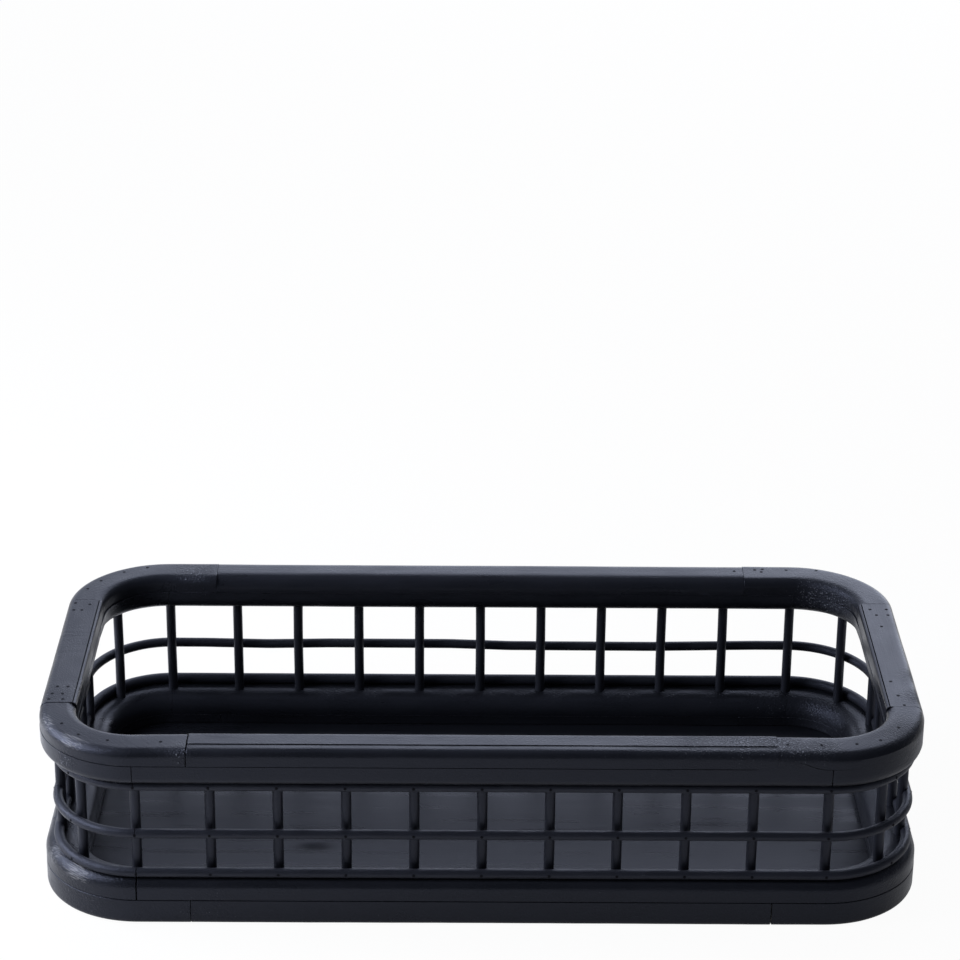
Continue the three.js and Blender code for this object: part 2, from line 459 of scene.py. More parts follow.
        smooth = add_node(tree, "Math", scaled | {1: self.film_relief}, {0: film, 2: fibres})
        sandy = add_node(tree, "Math", {"operation": "MULTIPLY"}, {0: sand, 1: rough})
        torn = add_node(tree, "Math", {"operation": "MULTIPLY"}, {0: streaks, 1: wear})
        raised = add_node(tree, "Math", scaled | {1: self.sand_relief}, {0: sandy, 2: smooth})
        relief = add_node(tree, "Math", scaled | {1: self.torn_relief}, {0: torn, 2: raised})
        depth = {"Strength": self.relief_strength, "Distance": self.relief_mm * MM}
        bump = add_node(tree, "Bump", depth, {"Height": relief})

        tree.links.new(self.colour(tree, mottle, scuffed_and_highlit, dust_and_glints), paint.inputs["Base Color"])
        tree.links.new(glossy, paint.inputs["Specular IOR Level"])
        tree.links.new(matt, paint.inputs["Roughness"])
        tree.links.new(bump, paint.inputs["Normal"])
        return material


@dataclass(frozen=True)
class PinIron:
    """Blackened iron of thin pin nails, seen as small dull dots darker than the paint."""

    name: str = "blackened_pin_iron"
    colour: str = "#07070a"
    worn: str = "#141419"
    roughness: float = 0.62
    specular: float = 0.06
    speckle_mm: float = 0.4

    def material(self) -> Finish:
        """Builds the dark iron with a fine uneven tone.

        Returns:
            The node material.
        """
        material = bpy.data.materials.new(self.name)
        material.use_nodes = True
        tree = material.node_tree
        iron = tree.nodes["Principled BSDF"]
        iron.inputs["Roughness"].default_value = self.roughness
        iron.inputs["Specular IOR Level"].default_value = self.specular
        place = add_node(tree, "TexCoord", out="Object")
        scale = {"Scale": per_metre(self.speckle_mm)}
        speckle = add_node(tree, "TexNoise", scale, {"Vector": place})
        tones = {"data_type": "RGBA", 6: hex_to_linear(self.colour), 7: hex_to_linear(self.worn)}
        tone = add_node(tree, "Mix", tones, {0: speckle}, out=2)
        tree.links.new(tone, iron.inputs["Base Color"])
        return material


@dataclass(frozen=True)
class TrayPlan:
    """The rounded rectangle that rails and hoops follow, by distance along its outer face.

    Distance starts where the front bar meets the front-left corner and runs to the right, so it passes the
    front, right, back and left sides in turn, each followed by its corner.
    """

    arc_x: float
    arc_y: float
    radius: float
    rail_width: float

    @classmethod
    def from_frame(cls, low: Vector, high: Vector) -> "TrayPlan":
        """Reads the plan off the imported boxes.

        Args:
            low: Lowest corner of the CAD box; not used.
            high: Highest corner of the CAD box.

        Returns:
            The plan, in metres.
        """
        end_low, end_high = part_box("front_spindle_11")
        bar_low, bar_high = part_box("top_rail_front")
        arc_x = (end_low.x + end_high.x) / 2
        radius = high.x - arc_x
        return cls(arc_x, high.y - radius, radius, bar_high.y - bar_low.y)

    @property
    def quarter(self) -> float:
        """Length of one corner along the outer face."""
        return self.radius * QUARTER

    @property
    def starts(self) -> Array:
        """Distances at which the eight stretches start, and the whole way round as the ninth."""
        runs = [2 * self.arc_x, self.quarter, 2 * self.arc_y, self.quarter] * 2
        return np.cumsum([0.0] + runs)

    @property
    def around(self) -> float:
        """Distance once round the outer face."""
        return float(self.starts[-1])

    def side_start(self, side: int) -> float:
        """Distance at which the front, right, back or left straight starts."""
        return float(self.starts[2 * side])

    def corner_start(self, corner: int) -> float:
        """Distance at which the front-right, back-right, back-left or front-left arc starts."""
        return float(self.starts[2 * corner + 1])

    def place(self, along: Array, inset: Array, height: Array) -> Array:
        """Turns distance, inset and height into points.

        A straight starts at the end of the arc before it and runs along its own direction. An arc keeps its
        centre and turns by distance over radius. The point is then moved inwards along the outward normal.

        Args:
            along: Distances along the outer face, one for each ring or one for each point.
            inset: Distances in from the outer face, by ring and place.
            height: Heights, of the same shape as inset.

        Returns:
            Points by distance, by place, by axis.
        """
        along = along if along.ndim == 2 else along[:, None]
        wrapped = np.mod(along, self.around)
        stretch = np.clip(np.searchsorted(self.starts, wrapped, side="right") - 1, 0, 7)
        run = wrapped - self.starts[stretch]
        side, straight = stretch // 2, stretch % 2 == 0
        angle = QUARTER * (side - 1) + np.where(straight, 0.0, run / self.radius)
        corner = np.where(straight, side - 1, side) % 4
        centre_x = self.arc_x * np.array([1, 1, -1, -1])[corner]
        centre_y = self.arc_y * np.array([-1, 1, 1, -1])[corner]
        shift = np.where(straight, run, 0.0)
        reach = self.radius - inset
        x = centre_x - np.sin(angle) * shift + np.cos(angle) * reach
        y = centre_y + np.cos(angle) * shift + np.sin(angle) * reach
        return np.stack(np.broadcast_arrays(x, y, height), -1)

    def outward(self, x: float, y: float) -> Four:
        """Gives the outward direction at a point of the wall, and where it starts.

        Args:
            x: Place along the tray.
            y: Place across the tray.

        Returns:
            The nearest point of the rectangle of arc centres, and the unit direction from it.
        """
        foot_x = min(max(x, -self.arc_x), self.arc_x)
        foot_y = min(max(y, -self.arc_y), self.arc_y)
        size = math.hypot(x - foot_x, y - foot_y)
        return foot_x, foot_y, (x - foot_x) / size, (y - foot_y) / size

    def stations(self, start: float, end: float, straight_step: float, arc_step: float) -> Array:
        """Picks distances from start to end, closer together on arcs.

        Args:
            start: First distance, which may be below zero.
            end: Last distance.
            straight_step: Longest step on a straight.
            arc_step: Longest step on an arc.

        Returns:
            Rising distances with both ends.
        """
        turns = np.concatenate([self.starts[:-1] - self.around, self.starts, self.starts[1:] + self.around])
        kinds = np.arange(len(turns)) % 8 % 2
        inside = (turns > start + 1e-6) & (turns < end - 1e-6)
        edges = np.concatenate([[start], turns[inside], [end]])
        parts = []
        for a, b in zip(edges[:-1], edges[1:]):
            stretch = np.searchsorted(turns, (a + b) / 2, side="right") - 1
            step = arc_step if kinds[stretch] else straight_step
            parts.append(np.linspace(a, b, max(2, math.ceil((b - a) / step) + 1))[:-1])
        return np.concatenate(parts + [[end]])


def bell(points: Array, spot_mm: Five) -> Array:
    """Gives how strongly a worn place shows, as the bell curve of distance over reach.

    Args:
        points: Points in metres, with the axes last.
        spot_mm: The place's middle, its reach and its strength, with lengths in millimetres.

    Returns:
        Strength at each point.
    """
    *middle, reach, strength = spot_mm
    far = np.linalg.norm(points - np.array(middle) * MM, axis=-1) / (reach * MM)
    return strength * np.exp(-(far**2))


def with_inner_points(points: Array, owner: Array, longest: float) -> tuple[Array, Array]:
    """Splits the long edges of a closed outline.

    Args:
        points: Points of the outline.
        owner: Part of the section that each point belongs to.
        longest: Longest edge that stays whole.

    Returns:
        The points with the new ones between them, and their parts, flat for a new point.
    """
    edge = np.roll(points, -1, 0) - points
    pieces = np.maximum(1, np.ceil(np.linalg.norm(edge, axis=1) / longest).astype(int))
    index = np.repeat(np.arange(len(points)), pieces)
    step = np.arange(len(index)) - np.repeat(np.cumsum(pieces) - pieces, pieces)
    share = step / pieces[index]
    return points[index] + edge[index] * share[:, None], np.where(step == 0, owner[index], Part.FLAT.value)


def outline_normals(points: Array) -> Array:
    """Gives the outward normal at each point of a closed outline.

    Args:
        points: Points of the outline, either way round.

    Returns:
        Unit normals, square to the line between the two neighbours.
    """
    after, before = np.roll(points, -1, 0), np.roll(points, 1, 0)
    along = after - before
    normal = np.stack([along[:, 1], -along[:, 0]], -1)
    area = float((points[:, 0] * after[:, 1] - after[:, 0] * points[:, 1]).sum())
    normal *= np.sign(area)
    return normal / np.linalg.norm(normal, axis=1, keepdims=True)


@dataclass(frozen=True)
class RoutedEdge:
    """An edge that a router rounded: its size, the step it leaves, and a shelf between the two."""

    width_mm: float
    height_mm: float
    step_mm: float = 0.0
    shelf_mm: float = 0.0
    shelf_drop_mm: float = 0.2

    def curve(self, steps: int) -> Array:
        """Draws the edge as a quarter of an ellipse, from the upright face to the level top.

        The inset is the width times one less the cosine, and the drop the height times one less the sine.
        A step sinks the round below the top, and a shelf slopes from the round to the foot of the step,
        upwards or, with a drop below zero, down into a groove.

        Args:
            steps: Segments of the curve.

        Returns:
            Insets from the face and heights against the top, in metres.
        """
        turn = np.linspace(0, QUARTER, steps + 1)
        foot = self.step_mm + (self.shelf_drop_mm if self.shelf_mm else 0.0)
        inset = self.width_mm * (1 - np.cos(turn))
        height = -foot - (self.height_mm - foot) * (1 - np.sin(turn))
        points = [np.stack([inset, height], -1)]
        if self.shelf_mm:
            points.append(np.array([(self.width_mm + self.shelf_mm, -self.step_mm)]))
        return np.concatenate(points) * MM


@dataclass(frozen=True)
class Ply:
    """One glued layer of a rail piece: where it runs, its heights and how its edges were routed."""

    start: float
    end: float
    open_start: float
    open_end: float
    seam: float
    thickness: float
    free: FreeSide
    outer: RoutedEdge
    inner: RoutedEdge
    groove: Triple | None = None
    crown: float = 0.0


@dataclass(frozen=True)
class GlueLine:
    """How the joint of two plies shows outside: where paint fills it and where it climbs as a crack."""

    filled_mm: tuple[Pair, ...] = ()
    climb_mm: float = 0.0
    climb_along_mm: float = 0.0
    climb_reach_mm: float = 9.0

    def openness(self, along: Array) -> Array:
        """Gives 1 where the line shows and 0 in filled stretches, with ends eased by an eighth power.

        Args:
            along: Distances along the outer face.

        Returns:
            The openness at each distance.
        """
        shown = np.ones_like(along)
        for start, end in self.filled_mm:
            middle, half = (start + end) / 2 * MM, (end - start) / 2 * MM
            shown = shown * (1 - np.exp(-(((along - middle) / half) ** 8)))
        return shown

    def climb(self, along: Array) -> Array:
        """Gives how far the line rises above the glue, as a bell curve along the rail.

        Args:
            along: Distances along the outer face.

        Returns:
            The rise at each distance.
        """
        far = (along - self.climb_along_mm * MM) / (self.climb_reach_mm * MM)
        return self.climb_mm * MM * np.exp(-(far**2))


@dataclass
class Rail:
    """A rail of two glued plies round the tray, cut into four corner pieces and four bars."""

    plan: TrayPlan
    name: str
    face: FreeSide
    face_ply: float
    finish: SatinBlackPaint
    seed: int
    bar_edges: tuple[tuple[RoutedEdge, RoutedEdge], ...]
    corner_edges: tuple[RoutedEdge, RoutedEdge]
    cage_edges: tuple[RoutedEdge, RoutedEdge]
    face_open: Four
    cage_open: Four
    edge_steps: int = 10
    section_step: float = 2.5 * MM
    bar_step: float = 4 * MM
    arc_step: float = 2.2 * MM
    outer_ease: float = 0.22 * MM
    inner_ease: float = 0.04 * MM
    end_ease: float = 0.26 * MM
    least_end_ease: float = 0.3
    ragged_end: float = 0.3 * MM
    ragged_cell: float = 2.2 * MM
    long_lap: float = 30.5 * MM
    short_lap: float = 17.0 * MM
    joint_gap: float = 0.3 * MM
    sanding: float = 0.22 * MM
    sanding_cell: Pair = (45 * MM, 14 * MM)
    fine_sanding_cell: Pair = (9 * MM, 5 * MM)
    fine_sanding_share: float = 0.25
    filled_sanding_share: float = 0.15
    misfit: float = 0.14 * MM
    crown_ridge: float = 0.85
    saw_depth: float = 0.09 * MM
    saw_pitch: float = 1.7 * MM
    saw_width: float = 13 * MM
    rub_strength: float = 0.5
    rub_from: float = 0.5
    rub_cell: Pair = (17 * MM, 9 * MM)
    rub_on_flats: float = 0.4
    plain_grit: float = 0.1
    grit_cell: Pair = (12 * MM, 8 * MM)
    grit_range: Pair = (0.4, 1.6)
    floor_groove: Triple | None = None
    corner_crown_mm: dict[str, float] = field(default_factory=dict)
    inner_trim_mm: dict[str, Triple] = field(default_factory=dict)
    piece_grit: dict[str, float] = field(default_factory=dict)
    sawn: dict[str, Pair] = field(default_factory=dict)
    worn_mm: dict[Mark, tuple[Five, ...]] = field(default_factory=dict)
    glue_line: GlueLine = GlueLine()

    SIDES = ("front", "right", "back", "left")
    CORNERS = ("corner_front_right", "corner_back_right", "corner_back_left", "corner_front_left")

    def __post_init__(self) -> None:
        """Reads the rail's lowest and highest face off its front bar."""
        low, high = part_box(f"{self.name}_front")
        self.low, self.high = low.z, high.z

    def laps(self, corner: int, on_face: bool) -> Pair:
        """Gives how far a corner's ply reaches past its arc.

        The face ply reaches into the long sides and the cage ply into the short sides, so the joints are
        staggered.

        Args:
            corner: Number of the corner.
            on_face: True for the face ply.

        Returns:
            The reach before and after the arc.
        """
        long_reach, short_reach = (self.long_lap, 0.0) if on_face else (0.0, self.short_lap)
        return (long_reach, short_reach) if corner % 2 == 0 else (short_reach, long_reach)

    def span(self, on_face: bool, corner: int | None, side: int | None) -> Four:
        """Gives where a corner's or a bar's ply starts and ends, and how open its two joints are.

        Args:
            on_face: True for the face ply.
            corner: Number of the corner, or None for a bar.
            side: Number of the side, or None for a corner.

        Returns:
            The two distances along the outer face, half a joint gap short at each end, and the openness of
            both joints, where 1 is a clean gap and 0 a gap that paint has filled.
        """
        openness = self.face_open if on_face else self.cage_open
        if corner is not None:
            before, after = self.laps(corner, on_face)
            start = self.plan.corner_start(corner) - before
            end = self.plan.corner_start(corner) + self.plan.quarter + after
            first = last = openness[corner]
        else:
            start = self.plan.side_start(side) + self.laps((side - 1) % 4, on_face)[1]
            end = self.plan.corner_start(side) - self.laps(side, on_face)[0]
            first, last = openness[(side - 1) % 4], openness[side]
        half = self.joint_gap / 2
        return start + half * first, end - half * last, first, last

    def plies(self, corner: int | None, side: int | None) -> list[Ply]:
        """Lists the two plies of a corner or a bar.

        Args:
            corner: Number of the corner, or None for a bar.
            side: Number of the side, or None for a corner.

        Returns:
            The face ply and the cage ply.
        """
        up = self.face is FreeSide.UP
        seam = self.high - self.face_ply if up else self.low + self.face_ply
        cage_ply = self.high - self.low - self.face_ply
        edges = self.corner_edges if side is None else self.bar_edges[side]
        crown = 0.0 if corner is None else self.corner_crown_mm.get(self.CORNERS[corner], 0.0) * MM
        other = FreeSide.DOWN if up else FreeSide.UP
        on_face, on_cage = self.span(True, corner, side), self.span(False, corner, side)
        return [
            Ply(*on_face, seam, self.face_ply, self.face, *edges, self.floor_groove, crown),
            Ply(*on_cage, seam, cage_ply, other, *self.cage_edges),
        ]

    def section(self, ply: Ply) -> tuple[Array, Array]:
        """Draws a ply's cross-section, by inset from the outer face and distance from the glue line.

        Both free edges are routed, and the floor's groove is cut into the inner face.

        Args:
            ply: The ply.

        Returns:
            Points of the outline, and the part of the section that each belongs to.
        """
        width, top = self.plan.rail_width, ply.thickness
        outer = ply.outer.curve(self.edge_steps) + (0.0, top)
        inner = (ply.inner.curve(self.edge_steps) * (-1, 1) + (width, top))[::-1]
        parts = [
            (np.array([(self.outer_ease, 0.0), (0.0, self.outer_ease)]), Part.OUTER_SEAM),
            (outer, Part.ROUND),
        ]
        if ply.outer.step_mm:
            parts.append((np.array([(outer[-1, 0], top)]), Part.FLAT))
        if ply.inner.step_mm:
            parts.append((np.array([(inner[0, 0], top)]), Part.FLAT))
        parts.append((inner, Part.ROUND))
        if ply.groove is not None:
            low, high, depth = ply.groove
            cut = [(width, high), (width - depth, high), (width - depth, low), (width, low)]
            parts.append((np.array(cut), Part.FLAT))
        parts.append((np.array([(width, self.inner_ease), (width - self.inner_ease, 0.0)]), Part.FLAT))
        points = np.concatenate([p for p, _ in parts])
        owner = np.concatenate([np.full(len(p), kind.value) for p, kind in parts])
        return with_inner_points(points, owner, self.section_step)

    def paint_marks(
        self, points: Array, rounded: Array, sandy: float, grid: NoiseGrid
    ) -> tuple[Array, Array]:
        """Works out where the paint is rubbed or dry and where it is sandy; at a few places the grey of
        rubbed paint is also a painted highlight and the pale specks of sandy paint are painted glints.

        Rounded edges are rubbed in patches of smooth noise, and the listed places add their bell curves.

        Args:
            points: Points of the ply, by ring and place.
            rounded: 1 on routed edges and 0 elsewhere, by place.
            sandy: How sandy the piece's paint is all over, from -1 to 1.
            grid: Distances along the ply and round its section.

        Returns:
            Wear and grit, by ring and place.
        """
        rubbed = np.clip(grid.patches(self.rub_cell, 2) - self.rub_from, 0, 1)
        wear = rounded[None, :] * rubbed * self.rub_strength
        least, most = self.grit_range
        grit = sandy * (least + (most - least) * grid.patches(self.grit_cell, 3))
        on_edges = self.rub_on_flats + (1 - self.rub_on_flats) * rounded[None, :]
        # Listed scuffs: rubbed paint, which at the strongest places is also a painted highlight.
        for spot in self.worn_mm.get(Mark.SCUFF_AND_HIGHLIGHT, ()):
            wear = np.maximum(wear, bell(points, spot) * on_edges)
        for spot in self.worn_mm.get(Mark.DRY, ()):
            wear = wear - bell(points, spot)
        # Listed grit: sandy paint whose pale specks at the back-right inner corners and the back ridge are
        # also painted glints.
        for spot in self.worn_mm.get(Mark.GRIT_AND_GLINT, ()):
            grit = np.maximum(grit, bell(points, spot))
        return wear, grit

    def sanded(self, grid: NoiseGrid) -> Array:
        """Gives how far sanding took the surface in: smooth noise of two sizes and a constant misfit.

        Args:
            grid: Distances along the ply and round its section.

        Returns:
            Depths by ring and place.
        """
        broad, fine = grid.patches(self.sanding_cell), grid.patches(self.fine_sanding_cell, 1)
        mixed = (1 - self.fine_sanding_share) * broad + self.fine_sanding_share * fine
        return self.sanding * mixed + self.misfit * np.random.default_rng(grid.seed + 4).random()

    def saw_marks(self, stretch: Pair, share: Array, grid: NoiseGrid) -> Array:
        """Gives the depth of saw marks: noise with a short pitch, inside a stretch with eased ends.

        Args:
            stretch: Shares of the piece's length at which the marks start and end.
            share: Share of the length at each ring.
            grid: Distances along the ply and round its section.

        Returns:
            Depths by ring and place.
        """
        first, last = stretch
        window = np.exp(-(((share - (first + last) / 2) / ((last - first) / 2)) ** 4))
        return self.saw_depth * grid.patches((self.saw_pitch, self.saw_width), 7) ** 2 * window

    def shell(self, ply: Ply, label: str, grain_angle: float, seed: int) -> Shell:
        """Carries a ply's section along its stretch of the plan.

        The section shrinks by a small ease at both ends and the ends are cut a little ragged, which makes
        the joint lines. A crowned top sinks by the square of the distance from its ridge, most halfway
        along. On the outer face, filled stretches lose the eased edge at the glue line, and where the line
        climbs it takes the face below the round with it. A trim, which goes evenly from the start's to the
        middle's to the end's, moves the inner edge outwards and eases to nothing halfway across.

        Args:
            ply: The ply.
            label: Which bar or corner it belongs to.
            grain_angle: Direction of the wood's fibres in plan.
            seed: Picks the noise.

        Returns:
            The ply's closed skin.
        """
        outline, owner = self.section(ply)
        normal = outline_normals(outline)
        ease_start = self.end_ease * max(ply.open_start, self.least_end_ease)
        ease_end = self.end_ease * max(ply.open_end, self.least_end_ease)
        step = self.saw_pitch / 2 if label in self.sawn else self.bar_step
        inner = self.plan.stations(ply.start + ease_start, ply.end - ease_end, step, self.arc_step)
        along = np.concatenate([[ply.start], inner, [ply.end]])
        place = np.cumsum(np.linalg.norm(np.roll(outline, -1, 0) - outline, axis=1))
        share = np.clip((along - ply.start) / (ply.end - ply.start), 0, 1)[:, None]
        on_top = np.clip(normal[:, 1], 0, 1) * (outline[:, 1] > ply.thickness / 2)
        grid = NoiseGrid(along, place, seed)
        sunk = self.sanded(grid)
        sunk[0] += ease_start
        sunk[-1] += ease_end
        ridge = self.crown_ridge * self.plan.rail_width
        hollow = on_top * ((outline[:, 0] - ridge) / ridge) ** 2
        sunk += ply.crown * np.sin(math.pi * share) * hollow[None, :]
        if label in self.sawn:
            sunk += self.saw_marks(self.sawn[label], share, grid) * on_top[None, :]
        shown = self.glue_line.openness(along)[:, None]
        flat = ply.thickness - ply.outer.height_mm * MM
        outer_face = (normal[:, 0] < -0.5) & (outline[:, 1] <= flat)
        lip = owner == Part.OUTER_SEAM.value
        least = self.filled_sanding_share
        sunk *= np.where(outer_face[None, :], least + (1 - least) * shown, 1.0)
        eased = np.where(lip[None, :], shown, 1.0)
        inset = outline[None, :, 0] * eased - normal[None, :, 0] * sunk
        lift = outline[None, :, 1] * eased - normal[None, :, 1] * sunk
        carried = np.where(outer_face | lip, np.clip(1 - outline[:, 1] / flat, 0, 1), 0.0)
        lift += ply.free.value * self.glue_line.climb(along)[:, None] * carried[None, :]
        trim = np.interp(share, (0.0, 0.5, 1.0), self.inner_trim_mm.get(label, (0.0, 0.0, 0.0))) * MM
        middle, level_end = self.plan.rail_width / 2, self.plan.rail_width - ply.inner.width_mm * MM
        inset -= trim * np.clip((outline[:, 0] - middle) / max(level_end - middle, MM), 0, 1)[None, :]
        ragged = self.ragged_end * lattice_noise(place / self.ragged_cell, np.zeros(1), seed + 5)[None, :]
        shifted = np.repeat(along[:, None], len(place), axis=1)
        shifted[:2] += ragged * ply.open_start
        shifted[-2:] -= ragged[:, ::-1] * ply.open_end
        points = self.plan.place(shifted, inset, ply.seam + ply.free.value * lift)
        rounded = (owner == Part.ROUND.value).astype(float)
        sandy = self.piece_grit.get(label, self.plain_grit)
        wear, grit = self.paint_marks(points, rounded, sandy, grid)
        cos, sin = math.cos(grain_angle), math.sin(grain_angle)
        grain = points.copy()
        grain[..., :2] = points[..., :2] @ np.array([[cos, -sin], [sin, cos]])
        grain += np.random.default_rng(seed).random(3)
        return skin(points, grain, wear, grit)

    def build(self) -> list[Piece]:
        """Makes the eight pieces of the rail.

        Returns:
            The pieces, bars first.
        """
        material = self.finish.material()
        pieces = [(label, None, k, QUARTER * (k % 2)) for k, label in enumerate(self.SIDES)]
        pieces += [(label, k, None, QUARTER * (k + 0.5)) for k, label in enumerate(self.CORNERS)]
        made = []
        for number, (label, corner, side, angle) in enumerate(pieces):
            seed = self.seed + 20 * number
            plies = self.plies(corner, side)
            shells = [self.shell(ply, label, angle, seed + 9 * k) for k, ply in enumerate(plies)]
            node = f"{self.name}_{label}"
            made.append(make_piece(f"{node}_dressed", shells, material))
            settle(made[-1], Slot.RAIL, node)
        return made


@dataclass(frozen=True)
class HoopLie:
    """How a hoop lies against its CAD place at the front and at the back, and how thick it is there.

    The bends list places along the back, from the tray's middle, and how far the hoop rises there.
    """

    front_out_mm: float
    front_up_mm: float
    back_out_mm: float
    back_up_mm: float
    front_swell_mm: float = -0.2
    back_swell_mm: float = 0.0
    back_bends_mm: tuple[Pair, ...] = ((0.0, 0.0),)


MIDDLE_BENDS_MM = ((-175, 1.4), (-135, 0.7), (-96, 1.4), (-19, 1.4), (19, 0.2), (110, 0.1), (175, 1.3))


@dataclass
class RodCage:
    """The spindles between the rails, the hoops round them, and the pins that tie hoop to spindle."""

    plan: TrayPlan
    finish: SatinBlackPaint
    iron: PinIron
    long_count: int = 11
    short_count: int = 5
    spindle_sides: int = 24
    spindle_rings: int = 26
    spindle_seed: int = 300
    spindle_cell: float = 11 * MM
    spindle_rub: float = 0.3
    spindle_rub_cell: Pair = (7 * MM, 1.0)
    hoop_sides: int = 20
    hoop_steps: Pair = (4 * MM, 2 * MM)
    hoop_seed: int = 500
    hoop_cell: float = 16 * MM
    hoop_rub: float = 0.5
    hoop_rub_cell: Pair = (13 * MM, 1.0)
    hoop_grit: float = 0.35
    hoop_grit_cell: Pair = (6 * MM, 1.0)
    unevenness: float = 0.08 * MM
    cells_around: int = 3
    splice_gap: float = 0.4 * MM
    splice_rub: float = 0.4
    splice_rub_reach: float = 5 * MM
    pin_radius: float = 0.85 * MM
    pin_top_share: float = 0.6
    pin_proud: float = 0.12 * MM
    pin_shoulder_share: float = 0.4
    pin_depth: float = 0.6 * MM
    pin_sides: int = 10
    bow: float = 0.3 * MM
    hoop_lie: dict[str, HoopLie] = field(
        default_factory=lambda: {
            "top_hoop": HoopLie(0.9, 1.0, 0.9, 0.5),
            "middle_hoop": HoopLie(0.9, -0.2, 0.9, -0.4, back_bends_mm=MIDDLE_BENDS_MM),
            "bottom_hoop": HoopLie(1.5, -1.0, 1.2, -0.6, back_swell_mm=0.4),
        }
    )
    end_shift: dict[str, float] = field(default_factory=lambda: {"left": -2.6 * MM, "right": 3.2 * MM})
    end_pull: Pair = (3.2 * MM, 1.0 * MM)

    HOOPS = ("top_hoop", "middle_hoop", "bottom_hoop")

    def axis(self, node: str) -> Pair:
        """Gives where a spindle stands: in its CAD box, or at the two ends a little further out."""
        low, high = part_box(node)
        return (low.x + high.x) / 2 + self.end_shift.get(node.split("_")[0], 0.0), (low.y + high.y) / 2

    def shift(self, hoop: str, x: Array, facing_x: Array, facing_y: Array) -> tuple[Array, Array, Array]:
        """Gives how far a hoop lies out from its CAD place, how far above it, and how much thicker it is.

        All three go evenly from the front's to the back's with the part of the outward direction that looks
        back, and a hoop that bends adds its rise along the back. At the two ends the hoop is drawn in by
        the square of the part that looks sideways.

        Args:
            hoop: CAD name of the hoop.
            x: Place along the tray.
            facing_x: Part of the outward direction that looks right.
            facing_y: Part of the outward direction that looks back.

        Returns:
            Distances out and up, and the change of radius.
        """
        lie = self.hoop_lie[hoop]
        back = (1 + facing_y) / 2
        pull = np.where(facing_x < 0, self.end_pull[0], self.end_pull[1]) * facing_x**2
        out = (lie.front_out_mm + (lie.back_out_mm - lie.front_out_mm) * back) * MM - pull
        places, rises = np.array(lie.back_bends_mm).T
        bend = np.interp(x / MM, places, rises) * np.clip(facing_y, 0, 1)
        up = (lie.front_up_mm + (lie.back_up_mm - lie.front_up_mm) * back + bend) * MM
        return out, up, (lie.front_swell_mm + (lie.back_swell_mm - lie.front_swell_mm) * back) * MM

    def spindle_nodes(self) -> list[str]:
        """Lists the CAD names of all spindles, side by side and then the corners."""
        counts = {"front": self.long_count, "back": self.long_count}
        counts |= {"left": self.short_count, "right": self.short_count}
        names = [f"{side}_spindle_{k + 1:02d}" for side, count in counts.items() for k in range(count)]
        corners = ("front_left", "front_right", "back_right", "back_left")
        return names + [f"corner_spindle_{corner}" for corner in corners]

    def reach(self, radius: float, cell: float, grid: NoiseGrid) -> Array:
        """Gives a rod's uneven radius, which shrinks by smooth noise along and around it.

        Args:
            radius: The rod's full radius.
            cell: Length of a patch along the rod.
            grid: Distances along the rod and angles round it.

        Returns:
            Radii by ring and angle.
        """
        around = np.abs(np.sin(grid.place / 2)) * self.cells_around
        return radius - self.unevenness * NoiseGrid(grid.along, around, grid.seed).patches((cell, 1.0))

    def spindle(self, node: str, seed: int) -> Shell:
        """Turns one upright rod in its CAD box.

        An uneven circle is carried up the axis, which bows sideways by half a sine wave from end to end.

        Args:
            node: CAD name of the spindle.
            seed: Picks the noise.

        Returns:
            The rod's closed skin.
        """
        low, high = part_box(node)
        rise = np.linspace(low.z, high.z, self.spindle_rings)
        angle = turns(self.spindle_sides)
        grid = NoiseGrid(rise, angle, seed)
        reach = self.reach((high.x - low.x) / 2, self.spindle_cell, grid)
        way = 2 * math.pi * np.random.default_rng(seed + 2).random()
        bowed = self.bow * np.sin(np.linspace(0, math.pi, len(rise)))[:, None]
        middle_x, middle_y = self.axis(node)
        x = middle_x + reach * np.cos(angle) + bowed * math.cos(way)
        y = middle_y + reach * np.sin(angle) + bowed * math.sin(way)
        points = np.stack([x, y, np.broadcast_to(rise[:, None], x.shape)], -1)
        grain = np.roll(points, 1, axis=-1) + np.random.default_rng(seed).random(3)
        wear = self.spindle_rub * grid.patches(self.spindle_rub_cell, 1) ** 2
        return skin(points, grain, wear)

    def hoop(self, node: str, seed: int) -> Shell:
        """Bends one hoop round the plan, with its two ends butted at the front-left spindle.

        An uneven circle is carried along the plan at the hoop's inset. A hoop beside a rail is shifted
        against that rail's round edge, and at the tray's two ends the hoop is drawn in so that the spindles
        are let into it.

        Args:
            node: CAD name of the hoop.
            seed: Picks the noise.

        Returns:
            The hoop's closed skin.
        """
        low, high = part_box(node)
        radius = (high.z - low.z) / 2
        half = self.splice_gap / 2
        along = self.plan.stations(half, self.plan.around - half, *self.hoop_steps)
        angle = turns(self.hoop_sides)
        grid = NoiseGrid(along, angle, seed)
        reach = self.reach(radius, self.hoop_cell, grid)
        level = np.zeros((len(along), 1))
        outer = self.plan.place(along, level, level)
        facing = (outer - self.plan.place(along, level + MM, level)) / MM
        out, rise, swell = self.shift(node, outer[..., 0], facing[..., 0], facing[..., 1])
        inset = self.plan.arc_x + self.plan.radius - high.x + radius - out
        reach += swell
        across, up = reach * np.cos(angle), reach * np.sin(angle)
        points = self.plan.place(along, inset - across, (low.z + high.z) / 2 + rise + up)
        grain = np.stack([np.broadcast_to(along[:, None], reach.shape), across, up], -1)
        wear = self.hoop_rub * grid.patches(self.hoop_rub_cell, 1) ** 2
        to_splice = np.minimum(along, self.plan.around - along) / self.splice_rub_reach
        wear = np.maximum(wear, self.splice_rub * np.exp(-(to_splice**2))[:, None])
        grit = self.hoop_grit * grid.patches(self.hoop_grit_cell, 2)
        return skin(points, grain + np.random.default_rng(seed).random(3), wear, grit)

